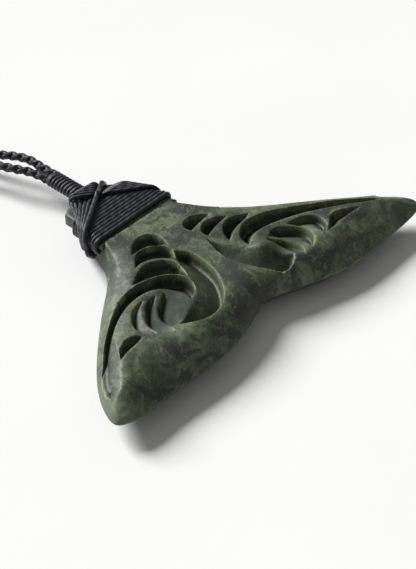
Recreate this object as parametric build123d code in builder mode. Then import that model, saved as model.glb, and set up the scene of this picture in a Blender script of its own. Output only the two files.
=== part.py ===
"""Greenstone whale tail pendant with a bound stem and a plaited neck cord, lying on its back.

X runs across the flukes, +Y along the stem towards the cord and +Z out of the carved face.
The origin is on the flat land that the stone rests on. Millimetres throughout.
"""
import os
from math import radians, sqrt, tan

from build123d import *

# Stone
half_span = 39.3
stone_length = 47.8
stone_thickness = 8.0
edge_height = 4.0
stem_underside = 3.4
stem_start_drop = 0.15
stem_head_thickness = 3.2
stem_upper_radius = 0.4
stem_start_bevel = 3.4
stem_head_bevel = 0.7

# Waxed thread, the band that it is wound into, and the two bundles that cross on the stem's head
thread = 0.85
clearance = 0.1
wraps = 11
over_width = 4.25
under_width = 4.25
lashing_overhang = 1.2
slope_length = 1.6

# Whipping round both legs of the cord, oval because it holds them side by side, a little left of the
# stone's axis
whipping_length = 10.0
whipping_width = 3.9
whipping_thickness = 2.7
whipping_x = -0.8

# Neck cord, with the straight ends that it leaves its whipping and its clasp by, and the barrel
# clasp that closes it
cord_diameter = 1.9
leg_straight = 3.6
clasp_straight = 4.5
clasp_length = 12.0
clasp_diameter = 5.0
clasp_rim_width = 1.6
clasp_rim_height = 0.35
clasp_chamfer = 0.3
clasp_x = -14.0
clasp_y = 135.0

# The tables measure in cells: 39.3 cells make half_span and 47.8 cells make stone_length.
# Heights and depths in them are shares of stone_thickness.
cell_x = half_span / 39.3
cell_y = stone_length / 47.8

# Outline at the height of the edge, from the stem round a fluke to the notch: x and y on the left,
# x and y on the right, both x as distances from the axis, then how far the carved face (dx, dy) and
# the back land (dx, dy) lie in from there, dx towards the axis.
LEADING_EDGE = (
    # left x, left y, right x, right y, face dx, face dy, back dx, back dy
    (12.0, 15.2, 7.7, 15.2, 1.0, -0.2, 2.6, -2.6),
    (12.9, 12.6, 10.1, 11.9, 1.4, -0.5, 3.0, -2.9),
    (18.8, 6.6, 15.8, 6.0, 1.5, -1.5, 3.2, -3.6),
    (27.6, -0.9, 24.8, -1.0, 1.5, -1.9, 5.2, -3.2),
    (35.1, -8.9, 34.4, -8.8, 1.9, -1.6, 9.6, -1.0),
    (37.6, -13.5, 39.0, -12.9, 3.0, -0.6, 12.6, 1.0),
)
TIP = (37.8, -15.8, 40.8, -16.3, 4.8, 1.2, 14.0, 2.6)
TRAILING_EDGE = (
    (36.8, -16.6, 37.5, -17.7, 4.4, 2.9, 13.2, 3.8),
    (30.0, -17.2, 30.0, -18.2, 1.2, 5.8, 8.0, 4.6),
    (20.0, -17.5, 20.5, -18.5, 0.2, 5.2, 2.0, 5.0),
    (11.2, -17.0, 11.4, -16.8, 0.2, 4.4, 0.4, 5.0),
    (4.7, -15.1, 5.4, -14.6, 1.0, 3.3, 0.4, 4.8),
)
NOTCH = (-0.2, -13.2, 0.2, -13.2, 0.0, 3.6, 0.0, 5.0)

# How the side of the stone turns from its edge to the face and to the back: the share of the
# rise, then the share of the inset there.
FACE_ROUNDING = ((0.4, 0.16), (0.75, 0.52), (1.0, 1.0))
BACK_ROUNDING = ((0.45, 0.24), (0.8, 0.62), (1.0, 1.0))

# Stem stations: y, left and right distance from the axis.
STEM = (
    (14.4, 11.4, 7.6),
    (17.0, 11.1, 7.1),
    (19.6, 10.0, 6.0),
    (22.6, 9.3, 4.7),
    (24.8, 8.9, 3.8),
    (27.4, 8.5, 2.8),
    (29.3, 4.6, 2.3),
)

# Carved cuts: name, depth, the rim along the steep wall, then the edge that the floor rises to.
# Both run from the same start to the same end. Distances are from the axis.
LEFT_CUTS = (
    ("upper scallop", 0.32,
     ((9.8, 8.9), (7.3, 10.9), (3.6, 10.7), (3.2, 6.5)), ((7.3, 9.0), (4.5, 7.7))),
    ("middle scallop", 0.32,
     ((12.0, 5.9), (9.4, 8.1), (5.1, 7.0), (4.9, 3.0)), ((9.2, 6.0), (6.5, 4.5))),
    ("lower scallop", 0.34,
     ((15.5, 2.9), (12.2, 5.0), (6.9, 3.5), (7.1, -1.9)), ((11.6, 2.2), (8.6, 0.2))),
    ("long groove", 0.33,
     ((35.9, -12.5), (34.4, -8.9), (29.5, -4.2), (22.3, 0.6), (15.5, 2.3), (10.4, 0.7), (8.2, -1.8),
      (8.3, -4.6), (11.3, -6.8)),
     ((34.2, -10.2), (30.0, -5.9), (23.3, -1.4), (16.4, -0.1), (13.3, -0.9), (12.0, -2.2), (11.0, -4.6))),
    ("outer koru groove", 0.28,
     ((4.3, 4.3), (2.3, 1.6), (2.4, -2.8), (4.7, -7.8), (8.0, -11.0), (12.1, -12.0), (16.6, -10.2)),
     ((5.6, 1.6), (6.6, -1.6), (8.2, -5.2), (11.0, -7.6), (14.0, -9.2))),
    ("first fan cut", 0.22,
     ((12.8, -2.7), (15.6, -4.1), (17.4, -7.0), (16.9, -9.4)), ((12.7, -5.4), (14.4, -8.3))),
    ("second fan cut", 0.22,
     ((14.6, -2.0), (18.0, -3.3), (20.4, -6.4), (20.1, -8.6)), ((17.2, -4.4), (18.6, -7.2))),
    ("third fan cut", 0.19,
     ((18.6, -1.5), (21.4, -2.9), (23.1, -5.6), (22.8, -7.6)), ((20.3, -3.9), (21.3, -6.4))),
    ("thumb cut", 0.19,
     ((29.8, -8.7), (27.6, -6.7), (24.9, -6.1), (23.5, -7.2)), ((27.6, -8.1), (24.9, -7.8))),
)
RIGHT_CUTS = (
    ("upper scallop", 0.30,
     ((8.2, 7.0), (6.0, 8.7), (3.1, 8.4), (2.4, 6.1)), ((6.0, 6.9), (3.8, 6.4))),
    ("middle scallop", 0.30,
     ((10.0, 4.3), (7.4, 5.9), (4.3, 5.4), (3.4, 3.0)), ((7.8, 4.2), (5.1, 3.6))),
    ("lower scallop", 0.32,
     ((13.1, 1.8), (10.4, 3.2), (6.7, 2.3), (4.9, -0.7)), ((10.4, 1.5), (6.9, 0.5))),
    ("long groove", 0.33,
     ((33.6, -13.0), (31.3, -10.6), (25.4, -5.9), (18.2, -1.6), (12.3, 0.6), (9.2, -0.1), (7.2, -1.6),
      (6.2, -3.2), (7.2, -4.8)),
     ((31.0, -11.6), (26.4, -9.0), (20.6, -5.8), (15.9, -3.8), (12.4, -3.0), (9.6, -3.0), (8.0, -3.8))),
    ("outer koru groove", 0.28,
     ((3.0, 3.0), (1.5, -0.5), (1.2, -5.2), (3.0, -9.7), (5.4, -12.3), (8.0, -12.9), (10.0, -11.2)),
     ((3.3, -0.4), (4.3, -3.0), (5.8, -5.6), (7.6, -7.6), (9.2, -9.4))),
    ("first fan cut", 0.22,
     ((10.0, -5.0), (12.2, -6.7), (13.0, -9.4), (11.8, -12.2)), ((10.5, -7.0), (10.9, -10.0))),
    ("second fan cut", 0.22,
     ((11.4, -4.8), (14.8, -5.2), (16.9, -8.4), (14.4, -12.3)), ((13.3, -6.9), (14.3, -9.6))),
    ("third fan cut", 0.19,
     ((15.6, -5.0), (19.2, -6.1), (20.9, -8.8), (18.4, -11.7)), ((17.4, -7.2), (18.5, -9.8))),
    ("thumb cut", 0.19,
     ((28.7, -11.5), (25.4, -9.7), (22.4, -9.7), (19.2, -11.9)), ((25.4, -11.3), (21.8, -11.5))),
)

# How far across a cut its steep wall reaches down to the floor, and how far its floor reaches.
wall_share = 0.14
floor_share = 0.52

# Lashings: x and distance back from the stem's end, in cells, and the angle across the stem in degrees.
OVER_PLACE = (-5.6, 4.3, 41.0)
UNDER_PLACE = (1.7, 3.5, -39.0)

stem_start = STEM[0][0] * cell_y
stem_end = STEM[-1][0] * cell_y
stem_middle = stem_underside + stem_head_thickness / 2
layer = clearance + thread
bevel_growth = 2 - sqrt(2)
binding_start = LEADING_EDGE[0][1] * cell_y + 3 * clearance
binding_end = binding_start + wraps * thread
lashing_end = stem_end + lashing_overhang
whipping_start = stem_end + clearance
whipping_end = whipping_start + whipping_length
leg_offset = (cord_diameter + clearance) / 2
lie = cord_diameter / 2
clasp_height = clasp_diameter / 2
clasp_left = clasp_x - clasp_length / 2
clasp_right = clasp_x + clasp_length / 2

# Routes of the two legs of the neck cord, from the whipping round to the clasp.
LEFT_ROUTE = (
    (whipping_x - leg_offset, whipping_end, stem_middle),
    (whipping_x - leg_offset, whipping_end + leg_straight, stem_middle),
    (-4.6, 47.8, 5.5),
    (-5.6, 53.4, 5.2),
    (-10.0, 60.5, 3.0),
    (-16.5, 65.3, 1.5),
    (-23.0, 68.5, lie),
    (-34.5, 76.5, lie),
    (-35.5, 90.5, lie),
    (-23.0, 99.5, lie),
    (-7.0, 100.0, lie),
    (9.0, 98.0, lie),
    (23.5, 102.5, lie),
    (24.5, 115.0, lie),
    (11.0, 120.0, lie),
    (-5.0, 118.5, lie),
    (-19.0, 118.0, lie),
    (-30.0, 119.5, lie),
    (-35.5, 127.5, lie),
    (-31.5, 134.6, 1.3),
    (clasp_left - clasp_straight, clasp_y, clasp_height),
    (clasp_left, clasp_y, clasp_height),
)
RIGHT_ROUTE = (
    (whipping_x + leg_offset, whipping_end, stem_middle),
    (whipping_x + leg_offset, whipping_end + leg_straight, stem_middle),
    (0.2, 47.6, 5.5),
    (-2.2, 53.2, 5.2),
    (-4.6, 60.3, 3.0),
    (-8.8, 67.3, 1.5),
    (-15.0, 73.5, lie),
    (-27.5, 79.5, lie),
    (-24.0, 92.0, lie),
    (-9.0, 92.5, lie),
    (8.0, 89.5, lie),
    (24.5, 91.5, lie),
    (35.5, 100.5, lie),
    (36.0, 114.5, lie),
    (27.5, 125.5, lie),
    (13.0, 127.5, lie),
    (1.8, 131.5, 1.3),
    (clasp_right + clasp_straight, clasp_y, clasp_height),
    (clasp_right, clasp_y, clasp_height),
)


def spot(side, x, y):
    """A table point on one side of the axis, side -1 for left and 1 for right."""
    return (side * x * cell_x, y * cell_y)


def between(start, end, share):
    """The point that lies a share of the way from one point to another."""
    return tuple(a + (b - a) * share for a, b in zip(start, end))


def outline_row(row, side, face, back):
    """One outline point, moved in by shares of its face and back insets."""
    left, left_y, right, right_y, face_dx, face_dy, back_dx, back_dy = row
    across, y = (left, left_y) if side < 0 else (right, right_y)
    across -= face * face_dx + back * back_dx
    return spot(side, across, y + face * face_dy + back * back_dy)


def stone_section(height, face=0.0, back=0.0):
    """The outline of the stone at one height, as a sketch of the same five edges."""
    notch = outline_row(NOTCH, 1, face, back)
    with BuildSketch(Plane.XY.offset(height)) as section:
        with BuildLine():
            ends = []
            for side in (1, -1):
                lead = [outline_row(row, side, face, back) for row in (*LEADING_EDGE, TIP)]
                trail = [outline_row(row, side, face, back) for row in (TIP, *TRAILING_EDGE)]
                Spline(*lead)
                Spline(*trail, notch)
                ends.append(lead[0])
            Line(*ends)
        make_face()
    return section.sketch


def groove_section(height, side, outer, inner):
    """A closed crescent between two curves with the same ends."""
    with BuildSketch(Plane.XY.offset(height)) as section:
        with BuildLine():
            Spline(*[spot(side, *point) for point in outer])
            Spline(*[spot(side, *point) for point in inner])
        make_face()
    return section.sketch


def stem_size(y):
    """Left and right distance from the axis and the height of the top of the stem at y, or at its end."""
    cells = min(y / cell_y, STEM[-1][0])
    low, high = next(pair for pair in zip(STEM, STEM[1:]) if cells <= pair[1][0])
    _, left, right = between(low, high, (cells - low[0]) / (high[0] - low[0]))
    start_top = stone_thickness - stem_start_drop
    end_top = stem_underside + stem_head_thickness
    top = start_top + (end_top - start_top) * (cells - STEM[0][0]) / (STEM[-1][0] - STEM[0][0])
    return left * cell_x, right * cell_x, top


def stem_bevel(y):
    """The bevel along the underside of the stem at y, or at its end."""
    share = (min(y, stem_end) - stem_start) / (stem_end - stem_start)
    return stem_start_bevel + (stem_head_bevel - stem_start_bevel) * share


def stem_body(*growth):
    """A stretch of the stem as a solid of its own, grown on every side: pairs of y and growth."""
    start, end = growth[0][0], growth[-1][0]
    corners = [y for y, _ in growth]
    stations = corners + [row[0] * cell_y for row in STEM if start < row[0] * cell_y < end]
    outlines = []
    for y in sorted(stations):
        left, right, top = stem_size(y)
        low, high = next(pair for pair in zip(growth, growth[1:]) if y <= pair[1][0])
        _, grow = between(low, high, (y - low[0]) / (high[0] - low[0]))
        thickness = top - stem_underside
        centre = ((right - left) / 2, y, stem_underside + thickness / 2)
        with BuildSketch(Plane(origin=centre, x_dir=(1, 0, 0), z_dir=(0, -1, 0))) as section:
            Rectangle(left + right + 2 * grow, thickness + 2 * grow)
            fillet(section.vertices().group_by(Axis.Y)[-1], stem_upper_radius + grow)
            chamfer(section.vertices().group_by(Axis.Y)[0], stem_bevel(y) + grow * bevel_growth)
        outlines.append(section.sketch.face().outer_wire())
    return Solid.make_loft(outlines, ruled=True)


def lashing_body(lift):
    """What the lashings lie on, grown by lift: the band, and past a slope the bare end of the stem."""
    over_band = layer + lift
    over_end = ((binding_end + slope_length, lift), (lashing_end, lift))
    return stem_body((binding_start, over_band), (binding_end, over_band), *over_end)


def cut_sections(side, depth, rim, rise):
    """The floor and the rim of one carved cut; the floor hugs the steep wall."""
    foot = [between(rim[0], rise[0], wall_share)]
    foot += [between(wall, slope, wall_share) for wall, slope in zip(rim[1:-1], rise)]
    foot.append(between(rim[-1], rise[-1], wall_share))
    floor_edge = [between(wall, slope, floor_share) for wall, slope in zip(rim[1:-1], rise)]
    floor = groove_section(stone_thickness * (1 - depth), side, foot, (foot[0], *floor_edge, foot[-1]))
    return [floor, groove_section(stone_thickness, side, rim, (rim[0], *rise, rim[-1]))]


def lashing_strip(place, width):
    """The upright slice, straight seen from above, that one lashing keeps to across the stem."""
    x, back, angle = place
    with BuildPart() as strip:
        with BuildSketch():
            with Locations((x * cell_x, stem_end - back * cell_y)):
                Rectangle(4 * half_span, width, rotation=angle)
        extrude(amount=2 * stone_thickness)
    return strip.part


def cord_line(name, route):
    """The tube's centre line, each arc as large as its two runs allow; prints its radii."""
    points = [Vector(*point) for point in route]
    radii = []
    for before, corner, after in zip(points, points[1:], points[2:]):
        turn = (corner - before).get_angle(after - corner)
        shorter = min((corner - before).length, (after - corner).length)
        radii.append(0.45 * shorter / tan(radians(turn) / 2))
    line = FilletPolyline(*points, radius=radii)
    print(name, "length", round(line.length, 1), "radii", [round(radius, 1) for radius in radii])
    return line


with BuildPart() as whale_tail:
    levels = [
        stone_section(edge_height * (1 - rise), back=inset) for rise, inset in reversed(BACK_ROUNDING)
    ]
    levels.append(stone_section(edge_height))
    for rise, inset in FACE_ROUNDING:
        levels.append(stone_section(edge_height + (stone_thickness - edge_height) * rise, face=inset))
    loft(levels, ruled=True)
    add(stem_body((stem_start, 0), (stem_end, 0)))
    for side, cuts in ((-1, LEFT_CUTS), (1, RIGHT_CUTS)):
        for _, depth, rim, rise in cuts:
            loft(cut_sections(side, depth, rim, rise), ruled=True, mode=Mode.SUBTRACT)
whale_tail.part.label = "whale_tail"

with BuildPart() as stem_binding:
    add(stem_body((binding_start, layer), (binding_end, layer)))
    add(stem_body((binding_start, clearance), (binding_end, clearance)), mode=Mode.SUBTRACT)
stem_binding.part.label = "stem_binding"

with BuildPart() as lashing_under:
    add(lashing_body(layer))
    add(lashing_body(clearance), mode=Mode.SUBTRACT)
    add(lashing_strip(UNDER_PLACE, under_width), mode=Mode.INTERSECT)
lashing_under.part.label = "lashing_under"

# The over lashing lies beside the under one and rises over it where they cross.
with BuildPart() as lashing_over:
    add(lashing_body(2 * layer))
    add(lashing_strip(UNDER_PLACE, under_width + 2 * layer), mode=Mode.INTERSECT)
    add(lashing_body(layer))
    add(lashing_body(clearance), mode=Mode.SUBTRACT)
    add(lashing_strip(OVER_PLACE, over_width), mode=Mode.INTERSECT)
    crossing = lashing_body(layer + clearance) & lashing_strip(UNDER_PLACE, under_width + 2 * clearance)
    add(crossing, mode=Mode.SUBTRACT)
lashing_over.part.label = "lashing_over"

whipping_plane = Plane(origin=(whipping_x, whipping_start, stem_middle), x_dir=(1, 0, 0), z_dir=(0, 1, 0))
with BuildPart() as cord_whipping:
    with BuildSketch(whipping_plane):
        SlotOverall(whipping_width, whipping_thickness)
    extrude(amount=whipping_length)
cord_whipping.part.label = "cord_whipping"

cords = []
for name, route in (("neck_cord_left", LEFT_ROUTE), ("neck_cord_right", RIGHT_ROUTE)):
    with BuildPart() as neck_cord:
        with BuildLine():
            line = cord_line(name, route)
        with BuildSketch(Plane(origin=line @ 0, z_dir=line % 0)) as section:
            Circle(cord_diameter / 2)
        sweep()
    neck_cord.part.label = name
    print("volume", round(neck_cord.part.volume, 1), round(section.sketch.area * line.length, 1))
    cords.append(neck_cord.part)

with BuildPart() as clasp:
    with Locations(Plane(origin=(clasp_x, clasp_y, clasp_height), x_dir=(0, 1, 0), z_dir=(1, 0, 0))):
        Cylinder(clasp_diameter / 2 - clasp_rim_height, clasp_length)
        Cylinder(clasp_diameter / 2, clasp_rim_width)
    for end in (-1, 1):
        rim_x = clasp_x + end * (clasp_length - clasp_rim_width) / 2
        with Locations(Plane(origin=(rim_x, clasp_y, clasp_height), x_dir=(0, 1, 0), z_dir=(1, 0, 0))):
            Cylinder(clasp_diameter / 2, clasp_rim_width)
    chamfer(clasp.faces().sort_by(Axis.X)[0].edges(), clasp_chamfer)
    chamfer(clasp.faces().sort_by(Axis.X)[-1].edges(), clasp_chamfer)
clasp.part.label = "clasp"

os.makedirs("parts", exist_ok=True)
pieces = [whale_tail, stem_binding, lashing_under, lashing_over, cord_whipping, clasp]
for part in [piece.part for piece in pieces] + cords:
    export_step(part, f"parts/{part.label}.step")
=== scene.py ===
"""Greenstone whale tail pendant, bound with waxed thread to a plaited neck cord, lying on a pale table.

Shapes are worked out in millimetres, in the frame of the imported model, and turned into metres as each mesh
is made. Left is -X, the cord leaves towards +Y and the carved face looks up.
"""

from math import cos, pi, radians, sin

import bpy
import bmesh
import numpy as np
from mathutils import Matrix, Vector, noise
from mathutils.bvhtree import BVHTree
from mathutils.geometry import delaunay_2d_cdt


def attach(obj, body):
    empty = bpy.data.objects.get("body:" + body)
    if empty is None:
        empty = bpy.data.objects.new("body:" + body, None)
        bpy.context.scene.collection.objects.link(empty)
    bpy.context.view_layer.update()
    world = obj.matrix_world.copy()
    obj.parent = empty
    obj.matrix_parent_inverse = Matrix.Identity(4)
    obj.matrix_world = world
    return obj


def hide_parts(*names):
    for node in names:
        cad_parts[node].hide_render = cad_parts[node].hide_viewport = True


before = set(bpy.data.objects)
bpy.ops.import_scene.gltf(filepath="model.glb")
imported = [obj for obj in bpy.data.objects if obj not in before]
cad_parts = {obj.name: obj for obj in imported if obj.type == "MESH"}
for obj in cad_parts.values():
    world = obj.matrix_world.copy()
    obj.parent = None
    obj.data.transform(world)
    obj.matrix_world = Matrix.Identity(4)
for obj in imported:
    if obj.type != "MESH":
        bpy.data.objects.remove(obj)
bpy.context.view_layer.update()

MM = 0.001

# The camera stands where the photograph was taken from, over the left fluke: its place is in metres, its
# angles in degrees.
photo_height = 569
focal_length_px = 1400
camera_place = (-0.14079, -0.12931, 0.16067)
camera_azimuth = -47.5
camera_elevation = 40
sensor_height = 36

# Neck cord: in metres the routes of its two legs, from the whipping round to the clasp.
LEFT_ROUTE = (
    (-0.0018, 0.0394, 0.00500), (-0.0018, 0.0430, 0.00500), (-0.0046, 0.0478, 0.00525),
    (-0.0056, 0.0534, 0.00460), (-0.0100, 0.0605, 0.00235), (-0.0165, 0.0653, 0.00115),
    (-0.0230, 0.0685, 0.00095), (-0.0345, 0.0765, 0.00095), (-0.0355, 0.0905, 0.00095),
    (-0.0230, 0.0995, 0.00095), (-0.0070, 0.1000, 0.00095), (0.0090, 0.0980, 0.00095),
    (0.0235, 0.1025, 0.00095), (0.0245, 0.1150, 0.00095), (0.0110, 0.1200, 0.00095),
    (-0.0050, 0.1185, 0.00095), (-0.0190, 0.1180, 0.00095), (-0.0300, 0.1195, 0.00095),
    (-0.0355, 0.1275, 0.00095), (-0.0315, 0.1346, 0.00130), (-0.0245, 0.1350, 0.00250),
    (-0.0200, 0.1350, 0.00250),
)
RIGHT_ROUTE = (
    (0.0002, 0.0394, 0.00500), (0.0002, 0.0430, 0.00500), (0.0002, 0.0476, 0.00525),
    (-0.0022, 0.0532, 0.00460), (-0.0046, 0.0603, 0.00235), (-0.0088, 0.0673, 0.00115),
    (-0.0150, 0.0735, 0.00095), (-0.0275, 0.0795, 0.00095), (-0.0240, 0.0920, 0.00095),
    (-0.0090, 0.0925, 0.00095), (0.0080, 0.0895, 0.00095), (0.0245, 0.0915, 0.00095),
    (0.0355, 0.1005, 0.00095), (0.0360, 0.1145, 0.00095), (0.0275, 0.1255, 0.00095),
    (0.0130, 0.1275, 0.00095), (0.0018, 0.1315, 0.00130), (-0.0035, 0.1350, 0.00250),
    (-0.0080, 0.1350, 0.00250),
)

# Four strands make the plait: radius of a strand, distance from the middle, how far they weave in and out,
# radius of the core inside them, the length of one whole turn, and the step along it.
plait_strand = 0.49
plait_radius = 0.42
plait_weave = 0.04
plait_core = 0.45
plait_lead = 4.2
plait_step = 0.3

# Stone heights, from the table up, then the stem's upper radius, the bevel along its underside at both ends
# and the rounding of its end.
top_height = 8.0
edge_height = 4.0
stem_underside = 3.4
stem_start_top = 7.85
stem_end_top = 6.6
stem_upper_radius = 0.4
stem_start_bevel = 3.4
stem_head_bevel = 0.7
stem_end_rounding = 0.9

# Waxed thread, the band that it is wound into, how the lashings come down from the band to the stem, how far
# they lean towards the flukes underneath, and the most of a half turn that the stem's bevel takes up.
thread = 0.85
clearance = 0.1
layer = clearance + thread
wraps = 11
binding_start = 15.5
binding_slant = 0.06
binding_end = binding_start + wraps * thread
binding_strand = 0.51 * thread
slope_length = 1.6
lashing_lean = 1.2
lashing_bevel = 0.8

# The two lashings: for each turn its x and y on top of the stem, its angle across it, and its thickness in
# threads. The inner turns of the over lashing fan out from the stem's left edge and lie lowest. The under
# lashing climbs over them. The edge turn passes over both.
EDGE_TURN = (-4.6, 23.6, 35.0, 1.15)
INNER_TURNS = (
    (-6.5, 23.4, 39.0, 0.78),
    (-6.9, 23.9, 42.5, 0.78),
    (-7.3, 24.4, 46.5, 0.78),
    (-9.2, 22.9, 52.0, 0.78),
    (-9.3, 23.2, 55.5, 0.78),
)
UNDER_TURNS = (
    (1.7, 23.5, -37.0, 0.8),
    (1.7, 24.35, -38.5, 0.8),
    (1.7, 25.2, -40.0, 0.8),
    (1.7, 26.05, -41.5, 0.8),
    (1.7, 26.9, -43.0, 0.8),
    (1.7, 27.75, -44.0, 0.8),
)

# Where a turn starts to climb past the turn beneath it, and how long the climb is, for the under lashing and
# for the edge turn, which rises by a share of a layer.
under_climb_start = 0.2
under_climb = 1.1
edge_climb_start = -1.6
edge_climb = 1.2
edge_rise = 0.8

# Steps of thread in each turn of the band, of the whipping and of the lashings, steps along the whipping's
# core, and places where the stem is measured for the lashings.
binding_steps = 96
whipping_steps = 48
lashing_steps = 120
core_steps = 12
stem_samples = 80

# Whipping round both legs of the cord, and how much its core fills the gaps between its turns.
whipping_x = -0.8
whipping_start = 29.4
whipping_length = 10.0
whipping_width = 3.9
whipping_thickness = 2.7
whipping_pitch = 0.85
whipping_strand = 0.52 * whipping_pitch
whipping_core_growth = 0.4 * whipping_strand

# Barrel clasp, with a rim at each end and one in the middle. Its corners are sharp from an angle in degrees.
clasp_x = -14.0
clasp_y = 135.0
clasp_length = 12.0
clasp_diameter = 5.0
clasp_rim_width = 1.6
clasp_rim_height = 0.35
clasp_edge = 0.25
sharp_angle = 30

# Light from behind the stem, low enough for the stone's shadow to fall in front of it.
sun_strength = 4.75
sun_softness = 27
sun_travel = (0.15, -1.32, -1.0)
room_strength = 0.2
ROOM_LIGHT = (1.0, 0.99, 0.97, 1)

# The table top, from its middle to its sides, in metres, and its colours.
table_half = 3.0
TABLE_SHADES = ((0.86, 0.86, 0.858, 1), (0.88, 0.88, 0.88, 1))

# Colours of the stone, as red, green and blue light.
FOREST = (0.014, 0.027, 0.012, 1)
SAGE = (0.064, 0.096, 0.050, 1)
PALE = (0.175, 0.215, 0.130, 1)
VIOLET = (0.026, 0.025, 0.029, 1)
OLIVE = (0.230, 0.235, 0.105, 1)
# Painted light: the glow of light coming through the stone where it is thin
GLOW = (0.075, 0.105, 0.016, 1)
# Painted shade that fills the deep parts of the cuts
CUT_SHADE = (0.010, 0.017, 0.006, 1)

# Mottling of the stone, each row over the ones before: width of its patches, detail, roughness and
# distortion of its noise, how drawn out they are, the turn of their grain in degrees, the noise where they
# start and where they are full, how much they cover, and their colour.
MOTTLING = (
    (3.6, 6, 0.72, 1.2, 1.7, 70, 0.47, 0.60, 0.72, FOREST),
    (4.2, 7, 0.72, 1.1, 2.2, -50, 0.50, 0.64, 0.50, PALE),
    (0.55, 3, 0.70, 0.0, 1.0, 0, 0.34, 0.62, 0.20, PALE),
    (6.5, 6, 0.66, 0.7, 1.5, 25, 0.49, 0.57, 0.80, VIOLET),
)

# Colours of the clasp: bright and tarnished metal.
CLASP_SHADES = ((0.52, 0.52, 0.53, 1), (0.30, 0.28, 0.26, 1))

# Colours of the waxed thread and of the cord: dark base, fibre, and a painted grey-brown highlight
THREAD_SHADES = ((0.009, 0.010, 0.015, 1), (0.030, 0.034, 0.050, 1), (0.060, 0.060, 0.068, 1))
CORD_SHADES = ((0.007, 0.008, 0.011, 1), (0.024, 0.026, 0.034, 1), (0.044, 0.042, 0.042, 1))

# Outline at the height of the edge, from the stem round a fluke to the notch: x and y on the left, x and y
# on the right, both x as distances from the axis, then how far the carved face and the back land lie in from
# there, each as dx and dy.
OUTLINE = (
    (12.0, 15.2, 7.7, 15.2, 1.0, -0.2, 2.6, -2.6),
    (12.9, 12.6, 10.1, 11.9, 1.4, -0.5, 3.0, -2.9),
    (18.8, 6.6, 15.8, 6.0, 1.5, -1.5, 3.2, -3.6),
    (27.6, -0.9, 24.8, -1.0, 1.5, -1.9, 5.2, -3.2),
    (35.1, -8.9, 34.4, -8.8, 1.9, -1.6, 9.6, -1.0),
    (37.6, -13.5, 39.0, -12.9, 3.0, -0.6, 12.6, 1.0),
    (37.8, -15.8, 40.8, -16.3, 4.8, 1.2, 14.0, 2.6),
    (36.8, -16.6, 37.5, -17.7, 4.0, 3.6, 13.2, 3.8),
    (30.0, -17.2, 30.0, -18.2, 0.8, 7.2, 8.0, 4.6),
    (20.0, -17.5, 20.5, -18.5, 0.2, 6.0, 2.0, 5.0),
    (11.2, -17.0, 11.4, -16.8, 0.2, 4.4, 0.4, 5.0),
    (4.7, -15.1, 5.4, -14.6, 1.0, 3.3, 0.4, 4.8),
    (-0.2, -13.2, 0.2, -13.2, 0.0, 3.6, 0.0, 5.0),
)

# Share of the inset and of the rise, from the edge to the back land, and the step between their rings.
BACK_ROUNDING = ((0.0, 0.0), (0.24, 0.45), (0.62, 0.8), (1.0, 1.0))
back_step = 0.11

# The face rolls over to its edge, softly on the leading edges, which the first rows give, and nearly flat on
# the trailing ones: how much wider than the outline's insets, and the power that its rise follows. Its rings
# are closer together towards the edge, by a power.
roll_rows = 6
leading_roll = (1.8, 2.3)
trailing_roll = (0.95, 1.25)
roll_steps = 11
roll_spacing = 1.4

# The face is smoothed, apart from a strip along its steep edges on the stem's side of a line across it, and
# made uneven by hand work.
smoothing_rounds = 30
steep_width = 1.4
steep_from = -11.0
unevenness = 0.06
uneven_width = 5

# Stem stations: y, and the distances of the left and right side from the axis.
STEM = (
    (14.4, 11.4, 7.6),
    (17.0, 11.1, 7.1),
    (19.6, 10.0, 6.0),
    (22.6, 9.3, 4.7),
    (24.8, 8.9, 3.8),
    (27.4, 8.5, 2.8),
    (29.3, 4.6, 2.3),
)
stem_end = STEM[-1][0]


def unit(vectors):
    """Rows scaled to length one."""
    return vectors / np.linalg.norm(vectors, axis=1, keepdims=True)


def distances(points):
    """How far along a line of points each of them lies."""
    return np.concatenate(([0], np.cumsum(np.linalg.norm(np.diff(points, axis=0), axis=1))))


def smooth_line(points, step):
    """A natural cubic spline through rows of numbers, sampled about a step apart in its first two."""
    points = np.array(points, float)
    chord = distances(points[:, :2])
    count = len(points)
    system = np.eye(count)
    pull = np.zeros_like(points)
    for i in range(1, count - 1):
        before = chord[i] - chord[i - 1]
        after = chord[i + 1] - chord[i]
        system[i, i - 1:i + 2] = before, 2 * (before + after), after
        pull[i] = 6 * ((points[i + 1] - points[i]) / after - (points[i] - points[i - 1]) / before)
    bend = np.linalg.solve(system, pull)
    places = np.linspace(0, chord[-1], max(2, int(round(chord[-1] / step)) + 1))
    low = np.clip(np.searchsorted(chord, places, side="right") - 1, 0, count - 2)
    width = (chord[low + 1] - chord[low])[:, None]
    a = chord[low + 1][:, None] - places[:, None]
    b = places[:, None] - chord[low][:, None]
    curved = (bend[low] * a ** 3 + bend[low + 1] * b ** 3) / (6 * width)
    straight = (points[low] / width - bend[low] * width / 6) * a
    straight += (points[low + 1] / width - bend[low + 1] * width / 6) * b
    return curved + straight


def even_steps(line, step):
    """A line of points taken again at even steps."""
    lengths = distances(line)
    places = np.linspace(0, lengths[-1], int(round(lengths[-1] / step)) + 1)
    return np.column_stack([np.interp(places, lengths, line[:, axis]) for axis in range(line.shape[1])])


def from_line(places, line):
    """The distance of each place from a line of points, in plan."""
    best = np.full(len(places), np.inf)
    for start, end in zip(line[:-1], line[1:]):
        along = end - start
        share = np.clip((places - start) @ along / (along @ along), 0, 1)
        best = np.minimum(best, np.linalg.norm(places - start - share[:, None] * along, axis=1))
    return best


def closed(line):
    """A line of points that ends where it starts."""
    return np.vstack((line, line[:1]))


def within(places, outline):
    """Which places lie inside a closed outline, in plan."""
    inside = np.zeros(len(places), bool)
    x, y = places[:, 0], places[:, 1]
    for start, end in zip(outline, np.roll(outline, -1, axis=0)):
        if start[1] != end[1]:
            crosses = (start[1] > y) != (end[1] > y)
            inside ^= crosses & (x < (end[0] - start[0]) * (y - start[1]) / (end[1] - start[1]) + start[0])
    return inside


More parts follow.
